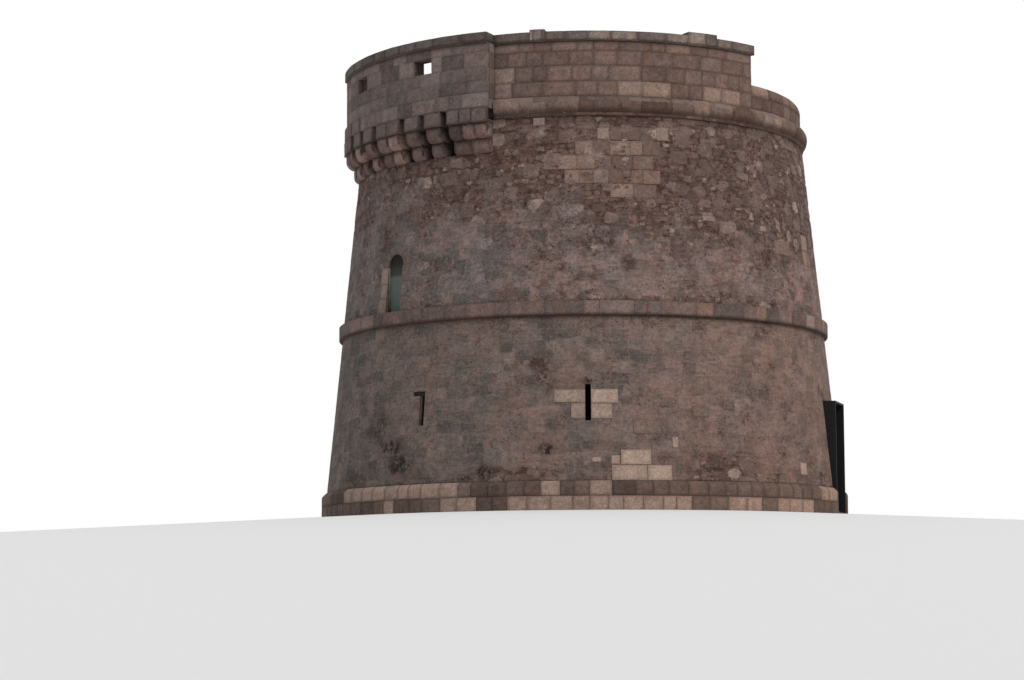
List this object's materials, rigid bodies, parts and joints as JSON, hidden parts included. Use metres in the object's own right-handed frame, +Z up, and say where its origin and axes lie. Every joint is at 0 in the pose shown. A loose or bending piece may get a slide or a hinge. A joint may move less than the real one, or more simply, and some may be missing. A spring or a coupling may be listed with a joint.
{
  "type": "martello tower",
  "caption": "Round limestone gun tower with battered walls, string course, roll cordon, corbelled machicolation over a raised arched doorway, stepped parapets and a steel entrance portal.",
  "frame": {"origin": "on the tower's axis at ground level", "axes": "+Z up along the tower's axis, -Y towards the front slit side, +X towards the side of the steel portal"},
  "size_m": [14.9996, 14.9996, 12.995],
  "materials": {
    "plinth_stone": "dressed limestone, new pale blocks among darker weathered ones",
    "lower_wall_masonry": "rubble limestone under worn lime render",
    "upper_wall_masonry": "rubble limestone with remains of lime render",
    "string_stone": "weathered dressed limestone",
    "cordon_stone": "weathered dressed limestone",
    "corbel_stone": "weathered dressed limestone",
    "parapet_ashlar": "weathered ashlar",
    "coping_stone": "weathered coping stones",
    "low_parapet_stone": "weathered ashlar",
    "floor_stone": "stone flags",
    "vault_stone": "dressed vault stones",
    "blackened_steel": "dark matt painted steel plate",
    "door_panel": "grey-green panel"
  },
  "bodies": {
    "root": {"plinth_front": "plinth_stone", "plinth_right": "plinth_stone", "plinth_back": "plinth_stone", "plinth_left": "plinth_stone", "ground_wall_slit_bays": "lower_wall_masonry", "ground_wall_right": "lower_wall_masonry", "ground_wall_front": "lower_wall_masonry", "ground_wall_left": "lower_wall_masonry", "ground_wall_back_left": "lower_wall_masonry", "ground_wall_back_right": "lower_wall_masonry", "ground_wall_door_near": "lower_wall_masonry", "ground_wall_door_far": "lower_wall_masonry", "ground_wall_over_door": "lower_wall_masonry", "ground_floor": "floor_stone", "ground_vault": "vault_stone", "entrance_portal": "blackened_steel", "string_course_front": "string_stone", "string_course_right": "string_stone", "string_course_back": "string_stone", "string_course_left": "string_stone", "upper_wall_front": "upper_wall_masonry", "upper_wall_right": "upper_wall_masonry", "upper_wall_back": "upper_wall_masonry", "upper_wall_left": "upper_wall_masonry", "upper_wall_door_left": "upper_wall_masonry", "upper_wall_door_bay": "upper_wall_masonry", "upper_wall_door_right": "upper_wall_masonry", "upper_wall_over_door": "upper_wall_masonry", "upper_door_panel": "door_panel", "upper_floor": "floor_stone", "upper_vault": "vault_stone", "terrace_floor": "floor_stone", "cordon_front": "cordon_stone", "cordon_right": "cordon_stone", "cordon_back": "cordon_stone", "corbels_lower": "corbel_stone", "corbels_upper": "corbel_stone", "lintel_stones": "corbel_stone", "corner_stones": "corbel_stone", "machicolation_parapet_left": "parapet_ashlar", "machicolation_parapet_right": "parapet_ashlar", "machicolation_coping": "coping_stone", "machicolation_ends": "parapet_ashlar", "tall_parapet_front": "parapet_ashlar", "tall_parapet_back": "parapet_ashlar", "tall_coping_front": "coping_stone", "tall_coping_back": "coping_stone", "raised_coping_stones": "coping_stone", "low_parapet_near": "low_parapet_stone", "low_parapet_far": "low_parapet_stone"}
  },
  "joints": []
}
